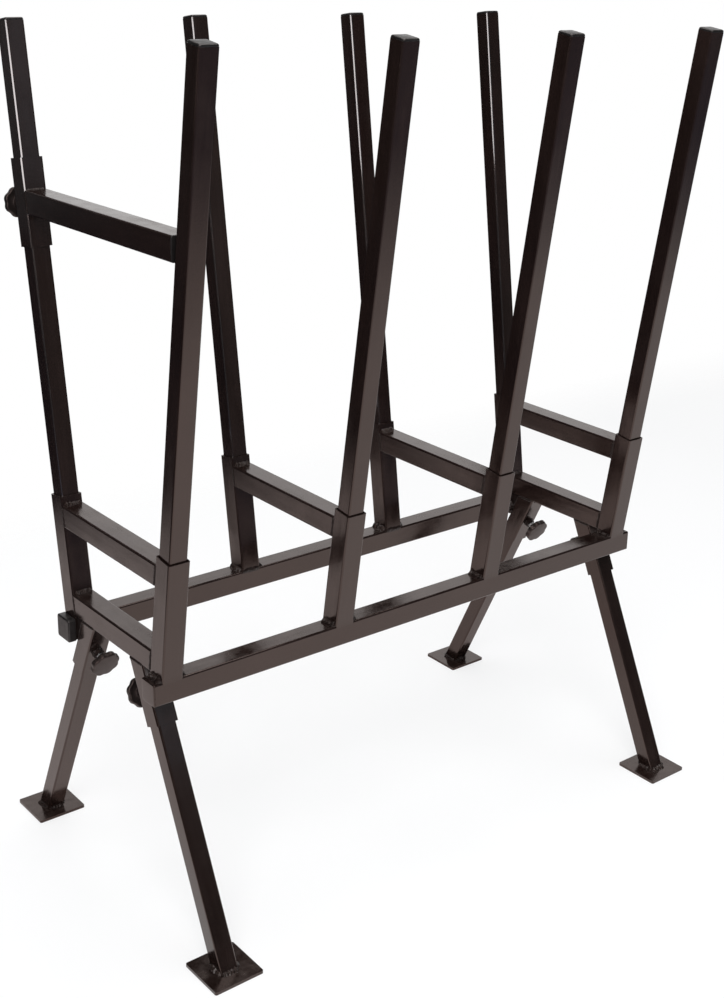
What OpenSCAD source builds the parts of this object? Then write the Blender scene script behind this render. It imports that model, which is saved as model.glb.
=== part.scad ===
// Log saw stand: four V-shaped stations of lift-out uprights on two long rails,
// four slide-out legs with foot plates, and a log clamp that slides on one upright.
// X runs along the rails, Y across them, Z up. The floor is Z = 0, under the foot plates.

/* [Rails] */
// Side of the square rail tube
rail_size = 30; // [26:1:40]
// Wall of the rail tube
rail_wall = 1.5; // [1:0.1:3]
// Distance between the centre lines of the two rails
rail_spacing = 220; // [190:1:300]
// Height of the underside of the rails above the floor
rail_height = 326; // [260:1:450]
// Length of rail past the last upright socket at each end
rail_overhang = 9.5; // [5:0.5:40]

/* [Stations] */
// Distance from one V of uprights to the next along the rails
station_pitch = 263; // [150:1:320]

/* [Uprights] */
// Side of the square upright tube
upright_size = 25; // [20:1:30]
// Wall of the upright tube
upright_wall = 1.2; // [1:0.1:3]
// Length of the upright tube without its cap
upright_len = 758; // [700:1:900]
// Lean of the uprights away from the middle, in degrees
upright_lean = 8.2; // [4:0.1:12]

/* [Upright sockets] */
// Wall of the upright socket tube
socket_wall = 1.5; // [1:0.1:3]
// Free space around the upright in its socket and in the clamp sleeve
upright_clearance = 1; // [0.5:0.1:2]
// Length of the socket along its centre line, from the top of the rail to the rim
socket_len = 165; // [120:1:220]
// How far the centre line of the socket meets the rail inside the centre line of the rail
socket_inset = 0; // [0:0.5:6]

/* [Cross tubes] */
// Side of the square cross tubes
cross_size = 30; // [20:1:32]
// Wall of the cross tubes
cross_wall = 1.5; // [1:0.1:3]
// Top of the upper cross tube below the centre of the socket rim
upper_cross_drop = 9.5; // [4:0.5:40]
// Underside of the lower cross tube above the top of the rail
lower_cross_rise = 4.5; // [1:0.5:20]

/* [Legs] */
// Side of the square leg tube
leg_size = 25; // [20:1:30]
// Wall of the leg tube
leg_wall = 1.2; // [1:0.1:3]
// Splay of the legs across the stand, in degrees
leg_splay = 25.4; // [15:0.1:32]
// Wall of the leg socket tube
leg_socket_wall = 1.5; // [1:0.1:3]
// Free space around the leg in its socket
leg_clearance = 1; // [0.5:0.1:2]
// Length of the leg socket below the underside of the rail
leg_socket_drop = 46; // [36:1:90]

/* [Foot plates] */
// Side of the square foot plate
foot_size = 70; // [50:1:100]
// Thickness of the foot plate
foot_thick = 4; // [2:0.5:8]

/* [Log clamp] */
// Length of the sleeve that slides on the upright
sleeve_len = 110; // [80:1:140]
// Height of the sleeve's middle along the upright, from the top of the rail
sleeve_height = 541.5; // [400:0.5:620]
// Wall of the sleeve tube
sleeve_wall = 1.5; // [1:0.1:3]
// Side of the square arm tube
arm_size = 30; // [20:1:34]
// Height of the arm's middle above the sleeve's middle, along the upright
arm_rise = 2.5; // [-30:0.5:30]
// Wall of the arm tube
arm_wall = 1.2; // [1:0.1:3]

/* [Clamp screws] */
// Diameter of the screw
screw_d = 8; // [6:0.5:10]
// Height of the weld nut
nut_height = 6.5; // [5:0.5:10]
// Width of the weld nut across its flats
nut_width = 13; // [12:0.5:20]
// Bare screw between the nut and the knob
screw_show = 5; // [2:0.5:15]
// Diameter of the knob over its lobes
knob_d = 40; // [32:1:50]
// Thickness of the knob
knob_thick = 15; // [12:0.5:20]
// Middle of the leg screw below the underside of the rail, along the leg
leg_screw_drop = 4; // [0:0.5:12]

/* [End caps] */
// Thickness of the cap flange on top of an upright
cap_flange = 3.5; // [2:0.5:8]
// Thickness of the plug flange at the end of a rail or of the arm
plug_flange = 2; // [1:0.5:4]
// Length of a cap or plug stem inside its tube
stem_len = 16; // [8:1:30]
// Wall of a cap or plug stem
stem_wall = 2; // [1.5:0.1:3]
// Wall of the slip-over cap
slip_cap_wall = 1; // [0.8:0.1:4]

/* [Hidden] */
// Outer corner radius of all square tubes, and the least share of it kept inside
corner_r = 2.5;
inner_corner_share = 0.3;
// Free space between an upright's foot or a leg's top and its stop, and from a screw tip to its tube
stop_gap = 0.3;
// Gap left for the weld between a leg socket and the rail edge
weld_gap = 0.2;
// Gap between the arm's plug and the opposite upright
arm_gap = 0.4;
// Running gap of the screw thread in its nut and of the screw in the knob
thread_gap = 0.05;
// Gap around the screw in the tube wall
screw_hole_gap = 0.4;
// Gap around a cap stem in its tube and between the slip-over cap and the rail
stem_gap = 0.15;
// Gap between the slip-over cap and the upright socket behind it
slip_cap_gap = 0.3;
// Edge rounding of the knob and chamfer of the caps
knob_edge_share = 0.2;
cap_chamfer_share = 0.4;
// Overrun of every cut
overrun = 5;
// Scallops around the knob: how many, how wide and how deep
knob_lobes = 8;
scallop_share = 0.3;
scallop_depth_share = 0.08;
// Dish in the back of the knob and hub around the screw
knob_hub_share = 0.45;
knob_dish_share = 0.35;
screw_seat_share = 0.7;
$fn = 64;

// Outer sizes that follow from what goes inside
socket_size = upright_size + 2 * (upright_clearance + socket_wall);
leg_socket_size = leg_size + 2 * (leg_clearance + leg_socket_wall);
sleeve_size = upright_size + 2 * (upright_clearance + sleeve_wall);
slip_cap_size = rail_size + 2 * (stem_gap + slip_cap_wall);
slip_cap_len = plug_flange + rail_overhang - slip_cap_gap;

// Stations, from the left end (-X) to the right end
station_count = 4;
stations = [for (i = [0 : station_count - 1]) (i - (station_count - 1) / 2) * station_pitch];
last_station = station_count - 1;
rail_len = last_station * station_pitch + socket_size + 2 * rail_overhang;
rail_top = rail_height + rail_size;
near = -1;
far = 1;
sides = [near, far];
side_names = ["near", "far"];
ends = [0, last_station];
end_names = ["left", "right"];

// Upright: where its centre line meets the top of the rail, and where its foot rests above it
socket_y = rail_spacing / 2 - socket_inset;
upright_foot = upright_size / 2 * tan(upright_lean) + stop_gap;
upright_top = upright_foot + upright_len;

// Cross tubes
upper_cross_z = rail_top + socket_len * cos(upright_lean) - upper_cross_drop - cross_size / 2;
lower_cross_z = rail_top + lower_cross_rise + cross_size / 2;
lower_cross_under = lower_cross_z - cross_size / 2;

// Leg: where its centre line meets the plane of the rail's underside, and its top end along it
leg_y = rail_spacing / 2 - rail_size / 2 - weld_gap - leg_socket_size / 2 / cos(leg_splay);
leg_stop_rise = lower_cross_under - rail_height - stop_gap;
leg_top = (leg_stop_rise - leg_size / 2 * sin(leg_splay)) / cos(leg_splay);
leg_foot_y = leg_y + (rail_height - foot_thick) * tan(leg_splay);

// Clamp arm: height of its middle, and its near end against the inner face of the opposite upright
arm_z = rail_top + (sleeve_height + arm_rise) * cos(upright_lean);
arm_under = arm_z - arm_size / 2;
arm_end_y = -socket_y - (arm_under - rail_top) * tan(upright_lean) + upright_size / 2 / cos(upright_lean)
    + arm_gap;

// Colours
paint = [0.17, 0.14, 0.13];
cap_black = [0.09, 0.09, 0.10];
knob_black = [0.08, 0.07, 0.07];
bright_steel = [0.72, 0.72, 0.74];

// Square tube section and tube

function inner_corner(wall) = max(corner_r - wall, corner_r * inner_corner_share);

module rounded_square(side, r) {
    square([side, side - 2 * r], center = true);
    square([side - 2 * r, side], center = true);
    for (sx = [-1, 1], sy = [-1, 1])
        translate([sx * (side / 2 - r), sy * (side / 2 - r)])
            circle(r);
}

module bar(side, r, from, to) {
    translate([0, 0, from])
        linear_extrude(to - from)
            rounded_square(side, r);
}

module tube(side, wall, from, to) {
    translate([0, 0, from])
        linear_extrude(to - from)
            difference() {
                rounded_square(side, corner_r);
                rounded_square(side - 2 * wall, inner_corner(wall));
            }
}

// Frames that carry the pieces

// Z runs up along an upright from the top of the rail, Y points to the far side
module at_upright(i, side) {
    translate([stations[i], side * socket_y, rail_top])
        rotate([-side * upright_lean, 0, 0])
            children();
}

// Z runs up along a leg from the plane of the rail's underside
module at_leg(i, side) {
    translate([stations[i], side * leg_y, rail_height])
        rotate([side * leg_splay, 0, 0])
            children();
}

// Z runs out of the inner face of a leg socket, along its clamp screw
module at_leg_screw(i, side) {
    at_leg(i, side)
        translate([0, -side * leg_socket_size / 2, -leg_screw_drop])
            rotate([side * 90, 0, 0])
                children();
}

// Z runs out of the outer face of the clamp sleeve, along its clamp screw
module at_clamp_screw() {
    at_upright(0, far)
        translate([0, sleeve_size / 2, sleeve_height])
            rotate([-90, 0, 0])
                children();
}

// Everything from a tube's inner face outwards, in the frame of an upright
module outside_face(size, side, reach) {
    translate([-reach / 2, side * (reach - size) / 2 - reach / 2, -reach])
        cube([reach, reach, 2 * reach]);
}

// Rails

module rail(side) {
    color(paint)
        translate([0, side * rail_spacing / 2, rail_height + rail_size / 2])
            rotate([0, 90, 0])
                tube(rail_size, rail_wall, -rail_len / 2, rail_len / 2);
}

// Upright sockets, cut flat on the rail

module upright_socket(i, side) {
    color(paint)
        difference() {
            at_upright(i, side)
                tube(socket_size, socket_wall, -socket_size, socket_len);
            translate([stations[i], side * socket_y, rail_top - socket_size])
                cube([2 * socket_size, 3 * socket_size, 2 * socket_size], center = true);
        }
}

// Cross tubes, cut to the lean of the sockets

module cross_tube(i, z) {
    color(paint)
        difference() {
            translate([stations[i], 0, z])
                rotate([90, 0, 0])
                    tube(cross_size, cross_wall, -rail_spacing, rail_spacing);
            for (side = sides)
                at_upright(i, side)
                    outside_face(socket_size, side, 2 * rail_spacing);
        }
}

module upper_cross_tube(i) {
    cross_tube(i, upper_cross_z);
}

module lower_cross_tube(i) {
    cross_tube(i, lower_cross_z);
}

// Leg sockets, cut flat under the lower cross tube, with the hole for the clamp screw

module leg_socket(i, side) {
    socket_reach = 2 * (rail_size + lower_cross_rise);
    color(paint)
        difference() {
            at_leg(i, side)
                tube(leg_socket_size, leg_socket_wall, -leg_socket_drop, socket_reach);
            translate([stations[i], side * leg_y, lower_cross_under + 2 * rail_size])
                cube([2 * leg_socket_size, 2 * rail_spacing, 4 * rail_size], center = true);
            at_leg_screw(i, side)
                translate([0, 0, -leg_socket_wall - overrun])
                    cylinder(h = leg_socket_wall + 2 * overrun, r = screw_d / 2 + screw_hole_gap);
        }
}

// Uprights and their caps

module upright(i, side) {
    color(paint)
        at_upright(i, side)
            tube(upright_size, upright_wall, upright_foot, upright_top);
}

module upright_cap(i, side) {
    inside = upright_size - 2 * upright_wall;
    chamfer = cap_flange * cap_chamfer_share;
    color(cap_black)
        at_upright(i, side)
            translate([0, 0, upright_top]) {
                bar(upright_size, corner_r, 0, cap_flange - chamfer);
                hull() {
                    bar(upright_size, corner_r, cap_flange - 2 * chamfer, cap_flange - chamfer, $fn = 32);
                    bar(upright_size - 2 * chamfer, corner_r, cap_flange - chamfer, cap_flange, $fn = 32);
                }
                tube(inside - 2 * stem_gap, stem_wall, -stem_len, 0);
            }
}

// Legs, cut flat on their foot plates

module leg(i, side) {
    leg_reach = (rail_height + leg_size) / cos(leg_splay);
    color(paint)
        difference() {
            at_leg(i, side)
                tube(leg_size, leg_wall, -leg_reach, leg_top);
            translate([stations[i], side * leg_foot_y, foot_thick - leg_size])
                cube([2 * leg_size, 8 * leg_size, 2 * leg_size], center = true);
        }
}

module foot_plate(i, side) {
    color(paint)
        translate([stations[i], side * leg_foot_y, 0])
            bar(foot_size, corner_r, 0, foot_thick);
}

// Clamp screws: a weld nut on the tube, a screw, and a lobed knob

module weld_nut() {
    difference() {
        cylinder(h = nut_height, d = nut_width / cos(30), $fn = 6);
        translate([0, 0, -overrun])
            cylinder(h = nut_height + 2 * overrun, r = screw_d / 2 + thread_gap);
    }
}

// The tip stops short of the tube that it clamps, in a socket of the given wall and clearance
module screw(wall, clearance) {
    tip = wall + clearance - stop_gap;
    seat = nut_height + screw_show + knob_thick * screw_seat_share;
    translate([0, 0, -tip])
        cylinder(h = tip + seat, d = screw_d);
}

module knob() {
    edge = knob_thick * knob_edge_share;
    rim_r = knob_d / 2;
    hub_r = rim_r * knob_hub_share;
    dish = knob_thick * knob_dish_share;
    scallop_r = rim_r * scallop_share;
    scallop_at = rim_r * (1 - scallop_depth_share) + scallop_r;
    translate([0, 0, nut_height + screw_show])
        difference() {
            rotate_extrude()
                polygon([
                    [0, 0], [hub_r, 0], [hub_r, dish], [rim_r - edge, dish], [rim_r, dish + edge],
                    [rim_r, knob_thick - edge], [rim_r - edge, knob_thick - edge / 2], [0, knob_thick]
                ]);
            for (k = [1 : knob_lobes])
                rotate(k * 360 / knob_lobes)
                    translate([scallop_at, 0, -overrun])
                        cylinder(h = knob_thick + 2 * overrun, r = scallop_r);
            translate([0, 0, -overrun])
                cylinder(h = overrun + knob_thick * screw_seat_share, r = screw_d / 2 + thread_gap);
        }
}

module leg_weld_nuts() {
    color(paint)
        for (i = ends, side = sides)
            at_leg_screw(i, side)
                weld_nut();
}

module leg_screw(i, side) {
    color(bright_steel)
        at_leg_screw(i, side)
            screw(leg_socket_wall, leg_clearance);
}

module leg_knob(i, side) {
    color(knob_black)
        at_leg_screw(i, side)
            knob();
}

// Log clamp on the far upright at the left end

module clamp_sleeve() {
    color(paint)
        difference() {
            at_upright(0, far)
                translate([0, 0, sleeve_height])
                    tube(sleeve_size, sleeve_wall, -sleeve_len / 2, sleeve_len / 2);
            at_clamp_screw()
                translate([0, 0, -sleeve_wall - overrun])
                    cylinder(h = sleeve_wall + 2 * overrun, r = screw_d / 2 + screw_hole_gap);
        }
}

// Y runs along the arm from the opposite upright to the sleeve
module at_arm_end() {
    translate([stations[0], arm_end_y, arm_z])
        rotate([-90, 0, 0])
            children();
}

module clamp_arm() {
    color(paint)
        difference() {
            at_arm_end()
                tube(arm_size, arm_wall, plug_flange, 3 * rail_spacing);
            at_upright(0, far)
                translate([0, 0, sleeve_height])
                    outside_face(sleeve_size, far, 4 * rail_spacing);
        }
}

module plug(size, wall) {
    bar(size, corner_r, 0, plug_flange);
    tube(size - 2 * wall - 2 * stem_gap, stem_wall, plug_flange, plug_flange + stem_len);
}

module clamp_arm_plug() {
    color(cap_black)
        at_arm_end()
            plug(arm_size, arm_wall);
}

module clamp_weld_nut() {
    color(paint)
        at_clamp_screw()
            weld_nut();
}

module clamp_screw() {
    color(bright_steel)
        at_clamp_screw()
            screw(sleeve_wall, upright_clearance);
}

module clamp_knob() {
    color(knob_black)
        at_clamp_screw()
            knob();
}

// Rail ends: plugs in three of them and one slip-over cap on the far rail's left end

module at_rail_end(end, side) {
    end_x = rail_len / 2 + plug_flange;
    translate([end * end_x, side * rail_spacing / 2, rail_height + rail_size / 2])
        rotate([0, -end * 90, 0])
            children();
}

module slip_cap() {
    difference() {
        bar(slip_cap_size, corner_r + slip_cap_wall, 0, slip_cap_len);
        bar(rail_size + 2 * stem_gap, corner_r, plug_flange, slip_cap_len + overrun);
    }
}

module rail_end_caps() {
    color(cap_black) {
        for (end = [-1, 1])
            at_rail_end(end, near)
                plug(rail_size, rail_wall);
        at_rail_end(1, far)
            plug(rail_size, rail_wall);
        at_rail_end(-1, far)
            slip_cap();
    }
}

for (s = [0, 1]) {
    rail(sides[s]);
    for (i = [0 : last_station]) {
        tag = str(side_names[s], "_", i + 1);
        upright_socket(i, sides[s]);
        upright(i, sides[s]);
        upright_cap(i, sides[s]);
    }
    for (e = [0, 1]) {
        tag = str(side_names[s], "_", end_names[e]);
        leg_socket(ends[e], sides[s]);
        leg(ends[e], sides[s]);
        foot_plate(ends[e], sides[s]);
        leg_screw(ends[e], sides[s]);
        leg_knob(ends[e], sides[s]);
    }
}
for (i = [0 : last_station])
    upper_cross_tube(i);
for (e = [0, 1])
    lower_cross_tube(ends[e]);
leg_weld_nuts();
rail_end_caps();
clamp_sleeve();
clamp_arm();
clamp_arm_plug();
clamp_weld_nut();
clamp_screw();
clamp_knob();
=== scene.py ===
"""Looks of the log saw stand: painted tubes, welds, plastic caps, lobed knobs and threaded screws."""

import math
import random

import bmesh
import bpy
from mathutils import Matrix, Vector, noise


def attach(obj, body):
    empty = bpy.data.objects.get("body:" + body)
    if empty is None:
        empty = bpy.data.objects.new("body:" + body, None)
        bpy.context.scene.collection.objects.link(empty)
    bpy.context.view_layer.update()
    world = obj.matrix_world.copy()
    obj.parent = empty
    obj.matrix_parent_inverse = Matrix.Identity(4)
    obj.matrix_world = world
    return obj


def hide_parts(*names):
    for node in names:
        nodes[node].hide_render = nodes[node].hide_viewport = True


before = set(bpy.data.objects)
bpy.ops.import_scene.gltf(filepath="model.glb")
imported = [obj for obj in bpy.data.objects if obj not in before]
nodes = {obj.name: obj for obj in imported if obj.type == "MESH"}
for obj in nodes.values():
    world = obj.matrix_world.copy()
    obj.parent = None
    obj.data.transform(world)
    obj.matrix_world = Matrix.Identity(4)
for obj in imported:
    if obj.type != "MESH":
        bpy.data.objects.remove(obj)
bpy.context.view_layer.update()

# One millimetre in metres; the meshes of the pieces are made in millimetres
MILLIMETRE = 0.001

# Sizes in millimetres, and the two angles, as in the part's source
RAIL = 30.0
RAIL_WALL = 1.5
RAIL_SPACING = 220.0
RAIL_UNDER = 326.0
OVERHANG = 9.5
PITCH = 263.0
UPRIGHT = 25.0
UPRIGHT_WALL = 1.2
UPRIGHT_LEN = 758.0
LEAN = math.radians(8.2)
SOCKET = 30.0
SOCKET_LEN = 165.0
CORNER = 2.5
CROSS = 30.0
UPPER_DROP = 9.5
LOWER_RISE = 4.5
LEG = 25.0
LEG_SOCKET = 30.0
SPLAY = math.radians(25.4)
FOOT_THICK = 4.0
SLEEVE = 30.0
SLEEVE_HEIGHT = 541.5
ARM = 30.0
ARM_WALL = 1.2
ARM_RISE = 2.5
SCREW_D = 8.0
SCREW_SHOW = 5.0
SCREW_DROP = 4.0
NUT_H = 6.5
NUT_W = 13.0
KNOB_D = 40.0
KNOB_T = 15.0
CAP = 3.5
PLUG = 2.0
STEM = 16.0
STEM_WALL = 2.0
SLIP_WALL = 1.0
STEM_GAP = 0.15
SLIP_GAP = 0.3
STOP_GAP = 0.3
WELD_GAP = 0.2
ARM_GAP = 0.4
THREAD_GAP = 0.05

# Places worked out from them
SIDES = {"near": -1, "far": 1}
ENDS = {"left": 0, "right": 3}
STATIONS = [(i - 1.5) * PITCH for i in range(4)]
RAIL_TOP = RAIL_UNDER + RAIL
RAIL_LEN = 3 * PITCH + SOCKET + 2 * OVERHANG
RAIL_INNER_Y = RAIL_SPACING / 2 - RAIL / 2
SOCKET_Y = RAIL_SPACING / 2
SOCKET_SLANT = SOCKET / 2 / math.cos(LEAN)
UPRIGHT_TOP = UPRIGHT / 2 * math.tan(LEAN) + STOP_GAP + UPRIGHT_LEN
UPPER_Z = RAIL_TOP + SOCKET_LEN * math.cos(LEAN) - UPPER_DROP - CROSS / 2
LOWER_Z = RAIL_TOP + LOWER_RISE + CROSS / 2
LEG_SOCKET_SLANT = LEG_SOCKET / 2 / math.cos(SPLAY)
LEG_Y = RAIL_INNER_Y - WELD_GAP - LEG_SOCKET_SLANT
FOOT_Y = LEG_Y + (RAIL_UNDER - FOOT_THICK) * math.tan(SPLAY)
ARM_Z = RAIL_TOP + (SLEEVE_HEIGHT + ARM_RISE) * math.cos(LEAN)
ARM_END_Y = (-SOCKET_Y - (ARM_Z - ARM / 2 - RAIL_TOP) * math.tan(LEAN)
             + UPRIGHT / 2 / math.cos(LEAN) + ARM_GAP)
KNOB_BORE = KNOB_T * 0.7


# Frames that carry the pieces

def move(x, y, z):
    return Matrix.Translation((x, y, z))


def turn(angle, axis):
    return Matrix.Rotation(angle, 4, axis)


def upright_frame(i, side):
    return move(STATIONS[i], side * SOCKET_Y, RAIL_TOP) @ turn(-side * LEAN, "X")


def leg_frame(i, side):
    return move(STATIONS[i], side * LEG_Y, RAIL_UNDER) @ turn(side * SPLAY, "X")


def leg_screw_frame(i, side):
    face = move(0, -side * LEG_SOCKET / 2, -SCREW_DROP)
    return leg_frame(i, side) @ face @ turn(side * math.pi / 2, "X")


def clamp_screw_frame():
    return upright_frame(0, 1) @ move(0, SLEEVE / 2, SLEEVE_HEIGHT) @ turn(-math.pi / 2, "X")


def rail_end_frame(end, side):
    middle = move(end * (RAIL_LEN / 2 + PLUG), side * RAIL_SPACING / 2, RAIL_UNDER + RAIL / 2)
    return middle @ turn(-end * math.pi / 2, "Y")


def arm_end_frame():
    return move(STATIONS[0], ARM_END_Y, ARM_Z) @ turn(-math.pi / 2, "X")


# Materials

class Nodes:
    """Builds the node tree of a material or a world."""

    def __init__(self, owner, output="ShaderNodeOutputMaterial"):
        owner.use_nodes = True
        self.owner = owner
        self.tree = owner.node_tree
        self.tree.nodes.clear()
        self.out = self.add(output)

    def add(self, kind, **values):
        node = self.tree.nodes.new(kind)
        for key, value in values.items():
            setattr(node, key, value)
        return node

    def link(self, a, b):
        self.tree.links.new(a, b)

    def put(self, socket, value):
        """Sets a socket to a number or a colour, or links another node's output to it."""
        if isinstance(value, tuple):
            socket.default_value = (*value, 1.0)
        elif isinstance(value, (int, float)):
            socket.default_value = value
        else:
            self.link(value, socket)

    def coords(self):
        return self.add("ShaderNodeTexCoord").outputs["Object"]

    def axis(self, name):
        """One of the object coordinates: X, Y or Z."""
        split = self.add("ShaderNodeSeparateXYZ")
        self.link(self.coords(), split.inputs[0])
        return split.outputs[name]

    def mapping(self, vector, scale, tilt=0.0, kind="POINT"):
        """Coordinates that are scaled and tilted about X."""
        node = self.add("ShaderNodeMapping", vector_type=kind)
        node.inputs["Rotation"].default_value = (tilt, 0, 0)
        node.inputs["Scale"].default_value = scale
        self.link(vector, node.inputs["Vector"])
        return node.outputs[0]

    def noise(self, vector, scale, detail=3.0, rough=0.55):
        """Noise from about 0 to 1; the scale is about how many features there are to the metre."""
        node = self.add("ShaderNodeTexNoise")
        for key, value in (("Vector", vector), ("Scale", scale), ("Detail", detail), ("Roughness", rough)):
            self.put(node.inputs[key], value)
        return node.outputs["Fac"]

    def ramp(self, value, lo, hi, out_lo=0.0, out_hi=1.0):
        """Carries lo to out_lo and hi to out_hi, and stays level beyond them."""
        node = self.add("ShaderNodeMapRange")
        keys = ("Value", "From Min", "From Max", "To Min", "To Max")
        for key, v in zip(keys, (value, lo, hi, out_lo, out_hi)):
            self.put(node.inputs[key], v)
        return node.outputs["Result"]

    def math(self, operation, a, b):
        node = self.add("ShaderNodeMath", operation=operation)
        self.put(node.inputs[0], a)
        self.put(node.inputs[1], b)
        return node.outputs[0]

    def mix(self, share, a, b):
        """A colour between two colours."""
        node = self.add("ShaderNodeMix", data_type="RGBA")
        for k, value in ((0, share), (6, a), (7, b)):
            self.put(node.inputs[k], value)
        return node.outputs[2]

    def bump(self, height, strength, distance, normal=None):
        """A normal bent by a height that is worth a distance in metres."""
        node = self.add("ShaderNodeBump")
        for key, value in (("Height", height), ("Strength", strength), ("Distance", distance)):
            self.put(node.inputs[key], value)
        if normal is not None:
            self.link(normal, node.inputs["Normal"])
        return node.outputs["Normal"]

    def edges(self, radius, lo, hi):
        """1 along outer edges, 0 on flat faces."""
        bevel = self.add("ShaderNodeBevel", samples=4)
        bevel.inputs["Radius"].default_value = radius
        dot = self.add("ShaderNodeVectorMath", operation="DOT_PRODUCT")
        self.link(bevel.outputs[0], dot.inputs[0])
        self.link(self.add("ShaderNodeNewGeometry").outputs["Normal"], dot.inputs[1])
        return self.ramp(dot.outputs["Value"], hi, lo)

    def facing(self, direction):
        """How far the surface faces a direction, from 0 to 1."""
        dot = self.add("ShaderNodeVectorMath", operation="DOT_PRODUCT")
        self.link(self.add("ShaderNodeNewGeometry").outputs["Normal"], dot.inputs[0])
        dot.inputs[1].default_value = direction
        return self.math("MAXIMUM", dot.outputs["Value"], 0.0)

    def facing_up(self):
        """0 on steep faces, 1 on level ones."""
        return self.ramp(self.facing((0, 0, 1)), 0.6, 1.0)

    def ray(self, kind):
        """1 for one kind of ray: Camera, Glossy or Transmission."""
        return self.add("ShaderNodeLightPath").outputs[f"Is {kind} Ray"]

    def background_rays(self):
        """1 for the rays that see the white background, 0 for those that light the object."""
        seen = self.math("ADD", self.ray("Camera"), self.ray("Glossy"))
        return self.math("ADD", seen, self.ray("Transmission"))

    def mix_shaders(self, share, a, b):
        node = self.add("ShaderNodeMixShader")
        for k, socket in enumerate((share, a, b)):
            self.link(socket, node.inputs[k])
        return node.outputs[0]

    def shader(self, kind, **sockets):
        """A shader node; an underscore in a socket's name stands for a space."""
        node = self.add(kind)
        for key, value in sockets.items():
            self.put(node.inputs[key.replace("_", " ")], value)
        return node.outputs[0]

    def finish(self, shader):
        """Sends a shader to the output and returns the material or world."""
        self.link(shader, self.out.inputs["Surface"])
        return self.owner


def material_nodes(name):
    return Nodes(bpy.data.materials.new(name))


# Colours are linear
PAINT_TONES = ((0.0080, 0.0044, 0.0038), (0.0150, 0.0086, 0.0074))
PAINT_GLOSS = (1.0, 0.72, 0.63)
PAINT_DUST = (0.060, 0.048, 0.042)
PAINT_SCUFF = (0.10, 0.085, 0.078)
WELD_TONES = ((0.0060, 0.0034, 0.0030), (0.0110, 0.0064, 0.0056))
CAP_TONES = ((0.0070, 0.0064, 0.0064), (0.0130, 0.0118, 0.0116))
CAP_GLOSS = (1.0, 0.90, 0.88)
KNOB_TONES = ((0.0060, 0.0048, 0.0046), (0.0110, 0.0090, 0.0084))
KNOB_GLOSS = (1.0, 0.74, 0.68)
PLASTIC_DUST = (0.075, 0.066, 0.060)
PLASTIC_WEAR = (0.10, 0.098, 0.095)
ZINC = (0.66, 0.66, 0.67)
ZINC_TARNISH = (0.42, 0.39, 0.34)

# Gloss: the paint's index of refraction, and a clear coat that is plain, or stronger at one corner to paint a
# highlight line
PAINT_IOR = 1.63
WELD_IOR = 1.32
PLAIN_COAT = 0.12
WELD_COAT = 0.3
PLAIN_COAT_IOR = 1.5
SHEEN_COAT_IOR = 3.2

# How much longer than wide the streaks in the paint are
STREAK = 9.0


def paint_material(name, tones=PAINT_TONES, stretch=(1, 1, 1), tilt=0.0, lump=0.0, dull=0.0, ior=PAINT_IOR,
                   coat=PLAIN_COAT, corner=None):
    """Glossy black-brown paint: streaks along the tube, orange peel, dust on level faces, scuffed edges.

    A corner, given as the directions of its two faces, can get a stronger clear coat: a painted highlight
    line.
    """
    n = material_nodes(name)
    at = n.coords()
    along = n.mapping(at, stretch, tilt, "TEXTURE")
    streak = n.noise(along, 70.0, 3.0, 0.6)

    patches = n.ramp(n.noise(at, 7.0, 4.0), 0.3, 0.7)
    color = n.mix(n.math("MULTIPLY", patches, n.ramp(streak, 0.3, 0.7, 0.5, 1.3)), *tones)
    film = n.ramp(n.noise(at, 42.0, 5.0, 0.7), 0.42, 0.75, 0.0, 0.45)
    specks = n.ramp(n.noise(at, 520.0, 2.0), 0.70, 0.74)
    dust = n.math("MAXIMUM", n.math("MULTIPLY", n.facing_up(), film), n.math("MULTIPLY", specks, 0.2))
    color = n.mix(dust, color, PAINT_DUST)
    rubbed = n.ramp(n.noise(at, 160.0, 5.0, 0.7), 0.50, 0.62)
    scuff = n.math("MULTIPLY", n.edges(0.0012, 0.80, 0.97), rubbed)
    color = n.mix(n.math("MULTIPLY", scuff, 0.3), color, PAINT_SCUFF)

    rough = n.ramp(n.noise(at, 30.0, 5.0, 0.65), 0.3, 0.7, 0.10 + dull, 0.20 + dull)
    rough = n.math("ADD", rough, n.ramp(streak, 0.4, 0.8, 0.0, 0.10))
    rough = n.math("ADD", rough, n.math("MULTIPLY", dust, 0.3))
    rough = n.math("ADD", rough, n.math("MULTIPLY", scuff, 0.2))

    peel = n.bump(n.noise(at, 380.0, 2.0), 0.10, 0.0004)
    normal = n.bump(n.noise(along, 40.0, 2.0), 0.10, 0.003, peel)
    if lump:
        normal = n.bump(n.noise(at, 330.0, 3.0), lump, 0.001, normal)

    coat_ior = PLAIN_COAT_IOR
    # Painted highlight: the coat is stronger only where the surface faces both directions of the corner
    if corner:
        corner_sheen = n.math("MULTIPLY", n.facing(corner[0]), n.facing(corner[1]))
        coat = n.ramp(corner_sheen, 0.05, 0.35, coat, 1.0)
        coat_ior = n.ramp(corner_sheen, 0.05, 0.35, PLAIN_COAT_IOR, SHEEN_COAT_IOR)
    return n.finish(n.shader("ShaderNodeBsdfPrincipled", Base_Color=color, Roughness=rough, Normal=normal,
                             IOR=ior, Specular_Tint=PAINT_GLOSS, Coat_Weight=coat, Coat_Roughness=0.05,
                             Coat_IOR=coat_ior))


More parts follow.
